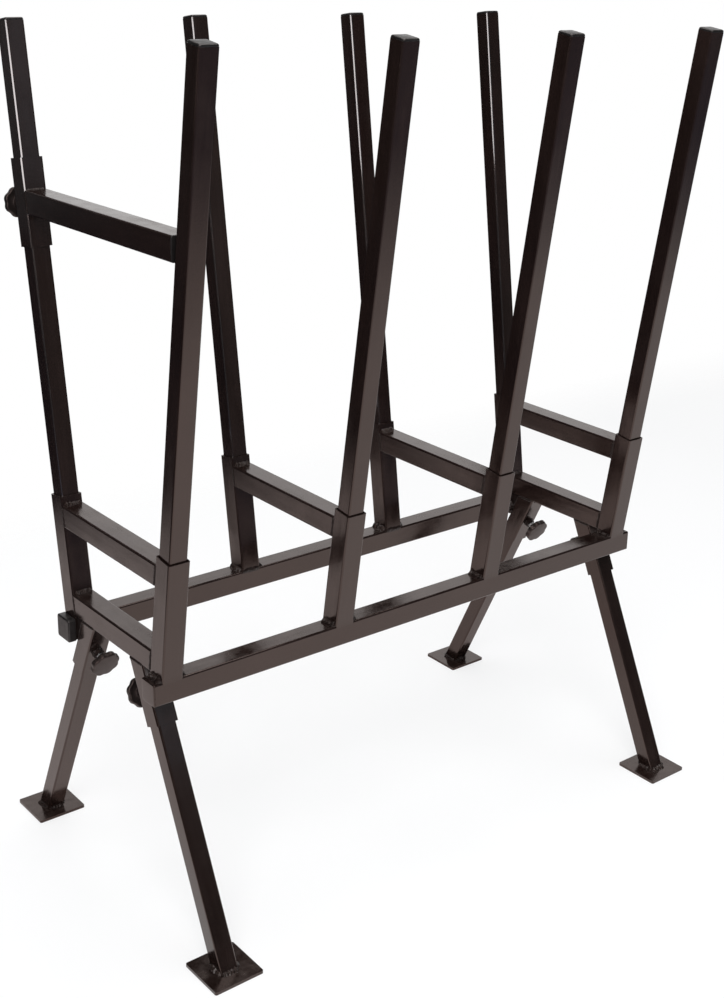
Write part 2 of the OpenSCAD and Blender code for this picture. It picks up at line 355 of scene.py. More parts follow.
def plastic_material(name, tones, gloss, roughness, grain, ior):
    """Moulded black plastic: fine grain, handling marks, dust on level faces, paler edges."""
    n = material_nodes(name)
    at = n.coords()
    color = n.mix(n.ramp(n.noise(at, 60.0, 4.0), 0.35, 0.7), *tones)
    film = n.ramp(n.noise(at, 130.0, 5.0, 0.7), 0.4, 0.75, 0.0, 0.5)
    dust = n.math("MULTIPLY", n.facing_up(), film)
    color = n.mix(dust, color, PLASTIC_DUST)
    worn = n.math("MULTIPLY", n.edges(0.0008, 0.82, 0.97), n.ramp(n.noise(at, 420.0, 4.0), 0.45, 0.6))
    color = n.mix(n.math("MULTIPLY", worn, 0.5), color, PLASTIC_WEAR)
    rough = n.ramp(n.noise(at, 90.0, 5.0, 0.65), 0.3, 0.7, *roughness)
    rough = n.math("ADD", rough, n.math("MULTIPLY", dust, 0.2))
    fine = n.bump(n.noise(at, 2600.0, 2.0), grain, 0.0002)
    normal = n.bump(n.noise(at, 150.0, 2.0), 0.05, 0.0006, fine)
    return n.finish(n.shader("ShaderNodeBsdfPrincipled", Base_Color=color, Roughness=rough, Normal=normal,
                             IOR=ior, Specular_Tint=gloss))


def steel_material(name):
    """Bright zinc plate with a little tarnish."""
    n = material_nodes(name)
    at = n.coords()
    color = n.mix(n.ramp(n.noise(at, 260.0, 5.0, 0.7), 0.45, 0.75), ZINC, ZINC_TARNISH)
    rough = n.ramp(n.noise(at, 700.0, 4.0), 0.3, 0.7, 0.2, 0.42)
    normal = n.bump(n.noise(at, 1800.0, 3.0), 0.15, 0.0002)
    return n.finish(n.shader("ShaderNodeBsdfPrincipled", Base_Color=color, Roughness=rough, Normal=normal,
                             Metallic=1.0))


ALONG_X = (STREAK, 1, 1)
ALONG_Y = (1, STREAK, 1)
ALONG_Z = (1, 1, STREAK)
# The far uprights' front-left corner, whose stronger coat paints a highlight line
FAR_FRONT_LEFT = ((-1, 0, 0), (0, -math.cos(LEAN), math.sin(LEAN)))
PAINT = paint_material("frame_paint_plain")
PAINT_RAIL = paint_material("frame_paint_rail", stretch=ALONG_X)
PAINT_CROSS = paint_material("frame_paint_cross", stretch=ALONG_Y)
PAINT_UPRIGHT = {row: paint_material(f"frame_paint_upright_{row}", stretch=ALONG_Z, tilt=-side * LEAN)
                 for row, side in SIDES.items()}
# Paint of the far uprights and the sleeve, with a painted highlight line along one corner
PAINT_FAR_UPRIGHT_SHEEN = paint_material("frame_paint_upright_far_rubbed", stretch=ALONG_Z, tilt=-LEAN,
                                   corner=FAR_FRONT_LEFT)
PAINT_LEG = {row: paint_material(f"frame_paint_leg_{row}", stretch=ALONG_Z, tilt=side * SPLAY)
             for row, side in SIDES.items()}
WELD = paint_material("frame_paint_weld", WELD_TONES, lump=0.6, dull=0.25, ior=WELD_IOR, coat=WELD_COAT)
CAP_BLACK = plastic_material("cap_plastic_black", CAP_TONES, CAP_GLOSS,
                             roughness=(0.26, 0.40), grain=0.12, ior=1.54)
KNOB_BLACK = plastic_material("knob_plastic_black", KNOB_TONES, KNOB_GLOSS,
                              roughness=(0.34, 0.46), grain=0.10, ior=1.62)
STEEL = steel_material("screw_steel_zinc")


def node_material(name, slot):
    """The finish of a CAD node; streaks in the paint run along the node's own tube."""
    if slot != "frame_paint":
        return {"cap_plastic": CAP_BLACK, "knob_plastic": KNOB_BLACK, "screw_steel": STEEL}[slot]
    row = "near" if "near" in name else "far"
    if name.startswith("rail_"):
        return PAINT_RAIL
    if "cross_tube" in name or name == "clamp_arm":
        return PAINT_CROSS
    if name.startswith("upright_far_") or name == "clamp_sleeve":
        return PAINT_FAR_UPRIGHT_SHEEN
    if name.startswith("upright_"):
        return PAINT_UPRIGHT[row]
    return PAINT_LEG[row] if name.startswith("leg_") else PAINT


# Mesh helpers: all shapes are made in millimetres

CORNER_STEPS = 7
IN_PLACE = Matrix.Identity(4)

# Angles in degrees above which an edge is shaded sharp
SHARP_TRIM = 32.0
SHARP_NUT = 20.0
SHARP_THREAD = 60.0
SHARP_WELD = 60.0


def piece(name, bm, matrix, material, body, replaces=(), sharp=SHARP_TRIM):
    """Turns a mesh in millimetres into a piece that rides on a body."""
    bmesh.ops.transform(bm, matrix=Matrix.Scale(MILLIMETRE, 4) @ matrix, verts=bm.verts)
    bmesh.ops.recalc_face_normals(bm, faces=bm.faces)
    mesh = bpy.data.meshes.new(name)
    bm.to_mesh(mesh)
    bm.free()
    mesh.shade_smooth()
    mesh.set_sharp_from_angle(angle=math.radians(sharp))
    mesh.materials.append(material)
    obj = bpy.data.objects.new(name, mesh)
    bpy.context.scene.collection.objects.link(obj)
    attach(obj, body)
    if replaces:
        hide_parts(*replaces)


def loft(bm, rings, closed=True):
    """Skins rings of points that have the same count, and fills the first and the last where closed."""
    rows = [[bm.verts.new(p) for p in ring] for ring in rings]
    count = len(rows[0])
    for a, b in zip(rows, rows[1:]):
        for k in range(count):
            q = (k + 1) % count
            bm.faces.new((a[k], a[q], b[q], b[k]))
    if closed:
        bm.faces.new(rows[0][::-1])
        bm.faces.new(rows[-1])


def turn_over(bm):
    bmesh.ops.rotate(bm, cent=(0, 0, 0), matrix=Matrix.Rotation(math.pi, 3, "X"), verts=bm.verts)


def square_ring(half, r, z):
    """A square with rounded corners at height z."""
    ring = []
    for quarter, (sx, sy) in enumerate(((1, 1), (-1, 1), (-1, -1), (1, -1))):
        for k in range(CORNER_STEPS + 1):
            a = math.pi / 2 * (quarter + k / CORNER_STEPS)
            x = sx * (half - r) + r * math.cos(a)
            y = sy * (half - r) + r * math.sin(a)
            ring.append(Vector((x, y, z)))
    return ring


# Caps and plugs

CAP_CORNER = CORNER + 0.8
CAP_EDGE = 2.2
CAP_CROWN = 0.3
CAP_SEAM = 0.35
PLUG_EDGE = 1.4
ARM_PLUG_EDGE = 0.7
PLUG_CROWN = 0.15
PLUG_SEAM = 0.25
FLANGE_INSET = 0.08
FLANGE_LIP = 0.05
STEM_CORNER = 1.0
STEM_BORE_CORNER = 0.8
SLIP_EDGE = 2.2
SLIP_CROWN = 0.2
SLIP_MOUTH = 0.4
SLIP_LIP = 0.5
CROWN_SHARES = (0.8, 0.5, 0.2, 0.02)


def rim_rings(half, r, top, edge, steps, tightening, least_r):
    """A rounded rim that ends at a height; its corners get tighter as it turns in."""
    rings = []
    for k in range(steps + 1):
        a = math.pi / 2 * k / steps
        inset = edge * (1 - math.cos(a))
        corner = max(r - tightening * inset, least_r)
        rings.append(square_ring(half - inset, corner, top - edge + edge * math.sin(a)))
    return rings


def crown_rings(half, r, top, crown):
    """A slightly crowned face inside a rim."""
    rings = []
    for share in CROWN_SHARES:
        h = half * share
        rings.append(square_ring(h, min(h * 0.6, r), top + crown * (1 - share * share)))
    return rings


def flange_rings(half, r, low, high, edge, crown, seam):
    """A flange with a seam below it, a rounded rim and a crowned face."""
    seam_corner = max(r - seam, 0.5)
    rings = [square_ring(half - seam, seam_corner, low), square_ring(half - seam, seam_corner, low + seam),
             square_ring(half - FLANGE_INSET, r, low + seam + FLANGE_LIP)]
    rings += rim_rings(half, r, high - crown, edge, steps=6, tightening=0.5, least_r=0.6)
    return rings + crown_rings(half - edge, r, high - crown, crown)


def stem_rings(half, low, high):
    """The hollow stem inside a tube, from its bore around its mouth to its outside."""
    bore = half - STEM_WALL
    return [square_ring(bore, STEM_BORE_CORNER, high), square_ring(bore, STEM_BORE_CORNER, low),
            square_ring(half, STEM_CORNER, low), square_ring(half, STEM_CORNER, high)]


def cap_mesh():
    bm = bmesh.new()
    loft(bm, flange_rings(UPRIGHT / 2, CAP_CORNER, 0.0, CAP, CAP_EDGE, CAP_CROWN, CAP_SEAM))
    loft(bm, stem_rings(UPRIGHT / 2 - UPRIGHT_WALL - STEM_GAP, -STEM, 0.0), closed=False)
    return bm


def plug_mesh(half, wall, edge):
    """A plug whose face looks towards -Z, with its stem towards +Z."""
    bm = bmesh.new()
    loft(bm, flange_rings(half, CORNER, -PLUG, 0.0, edge, PLUG_CROWN, PLUG_SEAM))
    loft(bm, stem_rings(half - wall - STEM_GAP, -PLUG - STEM, -PLUG), closed=False)
    turn_over(bm)
    return bm


def slip_cap_mesh():
    """A soft-cornered cap pulled over the rail's end; its face looks towards -Z."""
    bm = bmesh.new()
    inner = RAIL / 2 + STEM_GAP
    half = inner + SLIP_WALL
    r = CORNER + SLIP_WALL
    mouth = SLIP_GAP - PLUG - OVERHANG
    rings = [square_ring(inner * 0.05, 0.3, -PLUG), square_ring(inner, CORNER, -PLUG),
             square_ring(inner, CORNER, mouth + SLIP_MOUTH),
             square_ring(inner + SLIP_MOUTH, CORNER + SLIP_MOUTH, mouth),
             square_ring(half - SLIP_LIP, r - 0.3, mouth), square_ring(half, r, mouth + SLIP_LIP)]
    rings += rim_rings(half, r, -SLIP_CROWN, SLIP_EDGE, steps=7, tightening=0.4, least_r=1.0)
    rings += crown_rings(half - SLIP_EDGE, r, -SLIP_CROWN, SLIP_CROWN)
    loft(bm, rings)
    turn_over(bm)
    return bm


# Knobs, screws and weld nuts

KNOB_LOBES = 8
KNOB_POINTS = 128
SCALLOP_DEPTH = 0.075
SCALLOP_POWER = 1.4
KNOB_BACK_EDGE = 2.0
KNOB_FRONT_EDGE = 2.6
KNOB_DOME = 1.3
# From the rim to the middle: share of the knob's radius, and how deep the scallops are there
KNOB_FACE = ((0.80, 0.9), (0.72, 0.6), (0.6, 0.25), (0.45, 0.05), (0.3, 0.0), (0.15, 0.0), (0.01, 0.0))
THREAD_PITCH = 1.25
THREAD_DEPTH = 0.66
THREAD_FLANK = 2.6
THREAD_ROOT = 0.15
THREAD_POINTS = 32
THREAD_ROWS = 8
CREST_INSET = 0.02
TIP_R = 2.9
TIP_SLOPE = 0.9
SEAT_GAP = 0.2
NUT_POINTS = 96
NUT_FACE_SHARE = 0.985
NUT_CHAMFER_SLOPE = 0.577
NUT_MOUTH = 0.6


def polar(r, a, z):
    return Vector((r * math.cos(a), r * math.sin(a), z))


def knob_ring(r, z, lobes):
    """A ring at height z above the knob's back; lobes says how deep its scallops are, from 0 to 1."""
    ring = []
    for k in range(KNOB_POINTS):
        a = 2 * math.pi * k / KNOB_POINTS
        dent = 0.5 + 0.5 * math.cos(KNOB_LOBES * a)
        scalloped = r * (1 - SCALLOP_DEPTH * lobes * dent ** SCALLOP_POWER)
        ring.append(polar(scalloped, a, NUT_H + SCREW_SHOW + z))
    return ring


def knob_mesh():
    """Lobed knob with a blind bore, a hub, a dished back and a slightly domed face."""
    big = KNOB_D / 2
    flat = big - KNOB_FRONT_EDGE
    bore = SCREW_D / 2 + THREAD_GAP
    hub = big * 0.45
    dish = KNOB_T * 0.35
    front = KNOB_T - KNOB_DOME
    # Radius, height above the back and depth of the scallops, from inside the bore to the middle of the face
    profile = [(0.05, KNOB_BORE, 0), (bore, KNOB_BORE, 0), (bore, 0.5, 0), (bore + 0.5, 0.0, 0),
               (bore + 1.6, 0.0, 0), (bore + 1.8, 0.35, 0), (hub - 0.9, 0.35, 0), (hub - 0.3, 0.6, 0),
               (hub, 1.2, 0), (hub + 0.15, dish - 1.2, 0), (hub + 0.5, dish - 0.4, 0), (hub + 1.4, dish, 0.1),
               (big * 0.7, dish + 0.2, 0.6), (flat, dish + 0.1, 1.0)]
    for k in range(7):
        a = math.pi / 2 * k / 6
        profile.append((big - KNOB_BACK_EDGE + KNOB_BACK_EDGE * math.sin(a),
                        dish + KNOB_BACK_EDGE - KNOB_BACK_EDGE * math.cos(a), 1.0))
    for k in range(8):
        a = math.pi / 2 * k / 7
        profile.append((flat + KNOB_FRONT_EDGE * math.cos(a),
                        front - KNOB_FRONT_EDGE + KNOB_FRONT_EDGE * math.sin(a), 1.0))
    for share, lobes in KNOB_FACE:
        profile.append((big * share, front + KNOB_DOME * (1 - (big * share / flat) ** 2), lobes))
    bm = bmesh.new()
    loft(bm, [knob_ring(*p) for p in profile])
    return bm


def screw_mesh(outer, inner):
    """M8 thread with flat crests and a chamfered tip, which stops short of the inner of two tubes."""
    tip = (outer - inner) / 2 - STOP_GAP
    length = tip + NUT_H + SCREW_SHOW + KNOB_BORE - SEAT_GAP
    rows = int(length / THREAD_PITCH * THREAD_ROWS)
    rings = []
    for j in range(rows + 1):
        z = -tip + length * j / rows
        ring = []
        for k in range(THREAD_POINTS):
            phase = (z / THREAD_PITCH - k / THREAD_POINTS) % 1.0
            crest = min(1.0, max(0.0, THREAD_FLANK * abs(phase - 0.5) - THREAD_ROOT))
            r = SCREW_D / 2 - CREST_INSET - THREAD_DEPTH * (1 - crest)
            r = min(r, TIP_R + (z + tip) * TIP_SLOPE)
            ring.append(polar(r, 2 * math.pi * k / THREAD_POINTS, z))
        rings.append(ring)
    bm = bmesh.new()
    loft(bm, rings)
    return bm


def nut_ring(part):
    """A ring of the nut: its foot, the top of its side, its face, its mouth or its bore."""
    flat = NUT_W / 2
    face = flat * NUT_FACE_SHARE
    bore = SCREW_D / 2 + THREAD_GAP
    ring = []
    for k in range(NUT_POINTS):
        a = 2 * math.pi * k / NUT_POINTS
        hexagon = flat / math.cos((a + math.pi / 6) % (math.pi / 3) - math.pi / 6)
        chamfer = (hexagon - face) * NUT_CHAMFER_SLOPE
        r, z = {"foot": (hexagon, 0.0), "side": (hexagon, NUT_H - chamfer), "face": (face, NUT_H),
                "mouth": (bore + NUT_MOUTH, NUT_H), "bore": (bore, NUT_H - NUT_MOUTH),
                "end": (bore, 0.0)}[part]
        ring.append(polar(r, a, z))
    return ring


def nut_mesh():
    """Hexagon nut with a chamfered outer face."""
    bm = bmesh.new()
    loft(bm, [nut_ring(p) for p in ("end", "foot", "side", "face", "mouth", "bore", "end")], closed=False)
    bmesh.ops.remove_doubles(bm, verts=bm.verts, dist=0.001)
    return bm


# Welds

STATION_DRAW = 10
LEG_DRAW = 40
FOOT_DRAW = 70
SEEDS = (0, 6)
BEAD_ROW = 0.55
BEAD_END = 2.4
BEAD_SINK = 0.5
BEAD_BULGE = 0.3
BEAD_BOW = 0.9
SEAM_ROW = 0.6
SEAM_END = 2.0
SEAM_POINTS = 12
# Height of the ripples as a share of the weld, and their pitch
SMOOTH_RIPPLE = (0.10, 3.2)
COARSE_RIPPLE = (0.22, 4.4)
SEAM_RIPPLE = (0.10, 3.0)
# Sizes of the welds; a pair is a range that each weld is drawn from
SOCKET_BEADS = (5.2, 6.6)
CROSS_TOP_BEADS = (3.0, 3.8)
CROSS_LOW_BEAD = 3.0
CROSS_SEAM = 2.3
LEG_RAIL_BEAD = 4.5
LEG_SIDE_BEAD = 5.0
LEG_CROSS_BEAD = 3.4
LEG_SEAM = 2.2
FOOT_ACROSS_BEADS = (3.4, 4.4)
FOOT_SIDE_BEADS = (3.6, 4.8)
CLAMP_BEAD = 1.6
CLAMP_SEAM = 2.2
NUT_BEAD = 2.0
# Half lengths of the beads along X and of those on a nut's flats
CROSS_HALF = 12
LEG_RAIL_HALF = 13
FOOT_HALF = 11.5
NUT_HALF = 3.0
# How far beads and seams stop short of a tube's edge, and where the seams lie
BEAD_STOP = 1.5
SEAM_STOP = 1.0
LEG_SIDE_DROP = 8
CROSS_SEAM_X = SOCKET / 2 - 1.4
LEG_SEAM_X = LEG_SOCKET / 2 - 1.1
FOOT_FILL_UP = 4.0
FOOT_FILL_DOWN = 3.4
FOOT_FILL_HALF = 14.2
FOOT_FILL_DEPTH = 3.0
FOOT_FILL_SINK = 0.05
FOOT_FILL_ROWS = 60
OUTER_PROUD = 0.16
INNER_PROUD = 0.6
WEDGE_OVERLAP = 0.4
WEDGE_RISE = 1.0
WEDGE_LUMP = 0.8
# From the edge to the middle: share of the wedge's outline, and distance from the tube's axis
WEDGE_FACE = ((1.0, 9.0), (1.0, 13.2), (0.9, 13.8), (0.75, 14.1), (0.55, 14.2), (0.3, 14.2), (0.02, 14.2))


def end_taper(u, length, run, least):
    """How a weld swells from its ends, over a run at each."""
    return math.sqrt(max(least, min(1.0, u / run, (length - u) / run)))


def bead_swell(u, seed, ripple):
    """How a bead's size varies along it: even ripples, long swells and short lumps."""
    height, pitch = ripple
    ripples = height * math.sin(2 * math.pi * u / pitch + seed)
    swells = 0.45 * noise.noise((u * 0.11, seed * 3.1, 0.5))
    lumps = 0.30 * noise.noise((u * 0.55, seed * 2.3, 3.5))
    return 1 + ripples + swells + lumps


def bead(bm, start, end, side_a, side_b, size, seed, ripple=SMOOTH_RIPPLE):
    """A weld bead along a line, in the corner between two faces that run off along side_a and side_b."""
    start = Vector(start)
    side_a = Vector(side_a).normalized()
    side_b = Vector(side_b).normalized()
    axis = Vector(end) - start
    length = axis.length
    axis.normalize()
    rows = max(8, int(length / BEAD_ROW))
    rings = []
    for j in range(rows + 1):
        u = length * j / rows
        taper = end_taper(u, length, BEAD_END, 0.0)
        s = max(0.1, size * taper * bead_swell(u, seed, ripple))
        ring = [start + axis * u - (side_a + side_b) * BEAD_SINK]
        for k in range(9):
            t = k / 8
            lump = 1 + 0.24 * noise.noise((u * 0.45, t * 3.0, seed * 1.7))
            near_a = (1 - BEAD_BULGE) * (1 - t) + BEAD_BULGE * math.cos(math.pi / 2 * t)
            near_b = (1 - BEAD_BULGE) * t + BEAD_BULGE * math.sin(math.pi / 2 * t)
            reach_a = s * lump * near_a - BEAD_SINK * (near_a < 0.05)
            reach_b = s * lump * near_b - BEAD_SINK * (near_b < 0.05)
            bow = BEAD_BOW * taper * math.sin(math.pi * t)
            ring.append(start + axis * (u + bow) + (side_a * reach_a + side_b * reach_b))
        rings.append(ring)
    loft(bm, rings)


def bead_across(bm, x, half, y, z, side_a, side_b, size, seed, ripple=SMOOTH_RIPPLE):
    """A bead along X, with its middle at x."""
    bead(bm, (x - half, y, z), (x + half, y, z), side_a, side_b, size, seed, ripple)


def seam(bm, start, end, radius, seed):
    """A lumpy weld that fills a groove along a line."""
    start = Vector(start)
    axis = Vector(end) - start
    length = axis.length
    axis.normalize()
    one = axis.orthogonal().normalized()
    two = axis.cross(one)
    height, pitch = SEAM_RIPPLE
    rows = max(8, int(length / SEAM_ROW))
    rings = []
    for j in range(rows + 1):
        u = length * j / rows
        taper = end_taper(u, length, SEAM_END, 0.02)
        ring = []
        for k in range(SEAM_POINTS):
            a = 2 * math.pi * k / SEAM_POINTS
            ripples = height * math.sin(2 * math.pi * u / pitch + seed)
            r = radius * taper * (1 + ripples + 0.3 * noise.noise((u * 0.22, a, seed)))
            ring.append(start + axis * u + one * (r * math.cos(a)) + two * (r * math.sin(a)))
        rings.append(ring)
    loft(bm, rings)


def nut_beads(bm, nut, seeds):
    """A bead along the foot of each flat of a weld nut, which stands along Z of its frame."""
    out = nut.to_3x3() @ Vector((0, 0, 1))
    for k, seed in enumerate(seeds):
        a = math.pi / 3 * k + math.pi / 6
        across = Vector((math.cos(a), math.sin(a), 0))
        along = Vector((-math.sin(a), math.cos(a), 0))
        middle = across * NUT_W / 2
        bead(bm, nut @ (middle - along * NUT_HALF), nut @ (middle + along * NUT_HALF),
             nut.to_3x3() @ across, out, NUT_BEAD, seed)


def under_slip_cap(i, side, sx):
    """Whether a corner of the frame is the one that the slip-over cap covers."""
    return i == ENDS["left"] and side == SIDES["far"] and sx == -1


def inner_face_y(side, z):
    """Where the inner face of an upright socket or of the sleeve lies at a height."""
    return side * (SOCKET_Y + (z - RAIL_TOP) * math.tan(LEAN) - SOCKET_SLANT)


def filled_foot(bm, x, side, facing, proud, seed):
    """A weld that carries the rail's outer (facing 1) or inner (facing -1) face up into the socket's."""
    rail_face = RAIL_SPACING / 2 + facing * RAIL / 2
    socket_foot = SOCKET_Y + facing * SOCKET_SLANT
    rings = []
    for j in range(FOOT_FILL_ROWS + 1):
        u = 2 * j / FOOT_FILL_ROWS - 1
        ends = math.sqrt(max(0.0, 1 - u ** 8))
        high = FOOT_FILL_UP * ends * (1 + 0.3 * noise.noise((u * 3, seed, 0)))
        low = FOOT_FILL_DOWN * ends * (1 + 0.3 * noise.noise((u * 3, seed, 4)))
        ring = []
        for k in range(11):
            t = k / 10
            z = high * (1 - t) - low * t
            below = max(0.0, -z) / FOOT_FILL_DOWN
            face = socket_foot + max(z, 0) * math.tan(LEAN) + (rail_face - socket_foot) * min(1.0, below)
            lump = proud * math.sin(math.pi * t) * ends * (1 + 1.3 * noise.noise((u * 5, t * 1.5, seed)))
            y = side * (face + facing * (lump - FOOT_FILL_SINK))
            ring.append(Vector((x + FOOT_FILL_HALF * u, y, RAIL_TOP + z)))
        inside = side * (rail_face - facing * FOOT_FILL_DEPTH)
        ring += [Vector((p.x, inside, p.z)) for p in (ring[-1], ring[0])]
        rings.append(ring)
    loft(bm, rings)


def wedge_fill(bm, x, side, sx, seed):
    """Weld that closes the wedge between a leg socket, the rail and the lower cross tube."""
    low = RAIL_UNDER + WEDGE_RISE
    top = LOWER_Z - CROSS / 2 + WEDGE_OVERLAP
    y_rail = RAIL_INNER_Y + WEDGE_OVERLAP
    y_low, y_top = (LEG_Y + LEG_SOCKET_SLANT - (z - RAIL_UNDER) * math.tan(SPLAY) - WEDGE_OVERLAP
                    for z in (low, top))
    corners = [Vector((y_rail, low)), Vector((y_rail, top)), Vector((y_top, top)), Vector((y_low, low))]
    outline = [a.lerp(b, k / 8) for a, b in zip(corners, corners[1:] + corners[:1]) for k in range(8)]
    middle = sum(corners, Vector((0, 0))) / 4
    rings = []
    for share, depth in WEDGE_FACE:
        ring = []
        for q in outline:
            y, z = middle.lerp(q, share)
            lump = WEDGE_LUMP * noise.noise((y * 0.3, z * 0.3, seed)) * (share < 1)
            ring.append(Vector((x + sx * (depth + lump), side * y, z)))
        rings.append(ring)
    loft(bm, rings)


def cross_tube_welds(bm, x, z, side, up, rng):
    """Beads above and below one end of a cross tube, and seams at its sides."""
    top = z + CROSS / 2
    low = z - CROSS / 2
    y_top = inner_face_y(side, top)
    y_low = inner_face_y(side, low)
    inward = (0, -side, 0)
    down = [-c for c in up]
    size = rng.uniform(*CROSS_TOP_BEADS)
    bead_across(bm, x, CROSS_HALF, y_top, top, inward, up, size, rng.uniform(*SEEDS))
    bead_across(bm, x, CROSS_HALF, y_low, low, inward, down, CROSS_LOW_BEAD, rng.uniform(*SEEDS))
    for sx in (-1, 1):
        x_seam = x + sx * CROSS_SEAM_X
        start = (x_seam, y_low, low + SEAM_STOP)
        stop = (x_seam, y_top, top - SEAM_STOP)
        seam(bm, start, stop, CROSS_SEAM, rng.uniform(*SEEDS))


def station_welds(i):
    """Welds of one V: beads around its sockets, their filled feet and the ends of its cross tubes."""
    bm = bmesh.new()
    dressed = bmesh.new()
    x = STATIONS[i]
    rng = random.Random(STATION_DRAW + i)
    at_end = i in ENDS.values()
    for side in SIDES.values():
        up = (0, side * math.sin(LEAN), math.cos(LEAN))
        y_in = side * (RAIL_INNER_Y + BEAD_STOP)
        y_out = side * (SOCKET_Y + SOCKET / 2 - SEAM_STOP)
        for sx in (-1, 1):
            size = rng.uniform(*SOCKET_BEADS)
            seed = rng.uniform(*SEEDS)
            x_side = x + sx * SOCKET / 2
            if not under_slip_cap(i, side, sx):
                bead(bm, (x_side, y_in, RAIL_TOP), (x_side, y_out, RAIL_TOP), (sx, 0, 0), up, size, seed)
        filled_foot(dressed, x, side, 1, OUTER_PROUD, rng.uniform(*SEEDS))
        if not at_end:
            filled_foot(bm, x, side, -1, INNER_PROUD, rng.uniform(*SEEDS))
        for z in (UPPER_Z, LOWER_Z) if at_end else (UPPER_Z,):
            cross_tube_welds(bm, x, z, side, up, rng)
    piece(f"welds_station_{i + 1}", bm, IN_PLACE, WELD, "root", sharp=SHARP_WELD)
    piece(f"welds_socket_foot_{i + 1}", dressed, IN_PLACE, PAINT, "root", sharp=SHARP_WELD)


def leg_socket_welds(end, row):
    """Welds of a leg socket against the rail and under the lower cross tube, and around its weld nut."""
    bm = bmesh.new()
    i = ENDS[end]
    side = SIDES[row]
    x = STATIONS[i]
    rng = random.Random(LEG_DRAW + 2 * i + side)
    y_rail = side * RAIL_INNER_Y
    down = (0, side * math.sin(SPLAY), -math.cos(SPLAY))
    bead_across(bm, x, LEG_RAIL_HALF, y_rail, RAIL_UNDER, (0, side, 0), down, LEG_RAIL_BEAD,
                rng.uniform(*SEEDS))
    low = LOWER_Z - CROSS / 2
    y_mid = side * (LEG_Y - (low - RAIL_UNDER) * math.tan(SPLAY))
    half = LEG_SOCKET_SLANT - BEAD_STOP
    for sx in (-1, 1):
        seed = rng.uniform(*SEEDS)
        x_side = x + sx * LEG_SOCKET / 2
        x_seam = x + sx * LEG_SEAM_X
        if not under_slip_cap(i, side, sx):
            start = (x_side, y_rail, RAIL_UNDER - SEAM_STOP)
            stop = (x_side, y_rail, RAIL_TOP - LEG_SIDE_DROP)
            bead(bm, start, stop, (sx, 0, 0), (0, -side, 0), LEG_SIDE_BEAD, seed)
        seam(bm, (x_seam, y_mid - half, low), (x_seam, y_mid + half, low), LEG_SEAM, rng.uniform(*SEEDS))
        wedge_fill(bm, x, side, sx, rng.uniform(*SEEDS))
    for sy in (-1, 1):
        y = y_mid + sy * LEG_SOCKET_SLANT
        bead_across(bm, x, CROSS_HALF, y, low, (0, sy, 0), down, LEG_CROSS_BEAD, rng.uniform(*SEEDS))
    nut_beads(bm, leg_screw_frame(i, side), [rng.uniform(*SEEDS) for _ in range(6)])
    piece(f"welds_leg_socket_{row}_{end}", bm, IN_PLACE, WELD, "root", sharp=SHARP_WELD)


def foot_welds(end, row):
    """Coarse beads around a leg on its foot plate."""
    bm = bmesh.new()
    i = ENDS[end]
    side = SIDES[row]
    x = STATIONS[i]
    rng = random.Random(FOOT_DRAW + 2 * i + side)
    up = (0, -side * math.sin(SPLAY), math.cos(SPLAY))
    half = LEG / 2 / math.cos(SPLAY)
    for sy in (-1, 1):
        y = side * FOOT_Y + sy * half
        size = rng.uniform(*FOOT_ACROSS_BEADS)
        seed = rng.uniform(*SEEDS)
        bead_across(bm, x, FOOT_HALF, y, FOOT_THICK, (0, sy, 0), up, size, seed, COARSE_RIPPLE)
    for sx in (-1, 1):
        start = (x + sx * LEG / 2, side * FOOT_Y - half + BEAD_STOP, FOOT_THICK)
        stop = (x + sx * LEG / 2, side * FOOT_Y + half - BEAD_STOP, FOOT_THICK)
        size = rng.uniform(*FOOT_SIDE_BEADS)
        bead(bm, start, stop, (sx, 0, 0), up, size, rng.uniform(*SEEDS), COARSE_RIPPLE)
    piece(f"welds_foot_{row}_{end}", bm, IN_PLACE, WELD, f"leg_{row}_{end}", sharp=SHARP_WELD)


def clamp_welds():
    """Welds of the clamp's arm and weld nut on its sleeve."""
    bm = bmesh.new()
    x = STATIONS[0]
    up = Vector((0, math.sin(LEAN), math.cos(LEAN)))
    for sz in (1, -1):
        z = ARM_Z + sz * ARM / 2
        bead_across(bm, x, CROSS_HALF, inner_face_y(1, z), z, (0, -1, 0), up * sz, CLAMP_BEAD, 1.0 + sz)
    low = ARM_Z - ARM / 2 + SEAM_STOP
    top = ARM_Z + ARM / 2 - SEAM_STOP
    for sx in (-1, 1):
        x_seam = x + sx * CROSS_SEAM_X
        start = (x_seam, inner_face_y(1, low), low)
        stop = (x_seam, inner_face_y(1, top), top)
        seam(bm, start, stop, CLAMP_SEAM, 4.0 + sx)
    nut_beads(bm, clamp_screw_frame(), range(6))
    piece("welds_clamp", bm, IN_PLACE, WELD, "log_clamp", sharp=SHARP_WELD)


# The pieces

for name, obj in nodes.items():
    slot = obj.data.materials[0].name.split(".")[0] if obj.data.materials else "frame_paint"
    obj.data.materials.clear()
    obj.data.materials.append(node_material(name, slot))

for i in range(4):
    station_welds(i)
    for row, side in SIDES.items():
        top = upright_frame(i, side) @ move(0, 0, UPRIGHT_TOP)
        piece(f"cap_top_{row}_{i + 1}", cap_mesh(), top, CAP_BLACK, f"upright_{row}_{i + 1}",
              [f"upright_cap_{row}_{i + 1}"])

for end, i in ENDS.items():
    for row, side in SIDES.items():
        at = leg_screw_frame(i, side)
        knob = f"leg_knob_{row}_{end}"
        screw = f"leg_screw_{row}_{end}"
        piece(f"knob_{row}_{end}", knob_mesh(), at, KNOB_BLACK, knob, [knob])
        piece(f"thread_{row}_{end}", screw_mesh(LEG_SOCKET, LEG), at, STEEL, screw, [screw], SHARP_THREAD)
        piece(f"weld_nut_{row}_{end}", nut_mesh(), at, WELD, "root", ["leg_weld_nuts"], SHARP_NUT)
        leg_socket_welds(end, row)
        foot_welds(end, row)

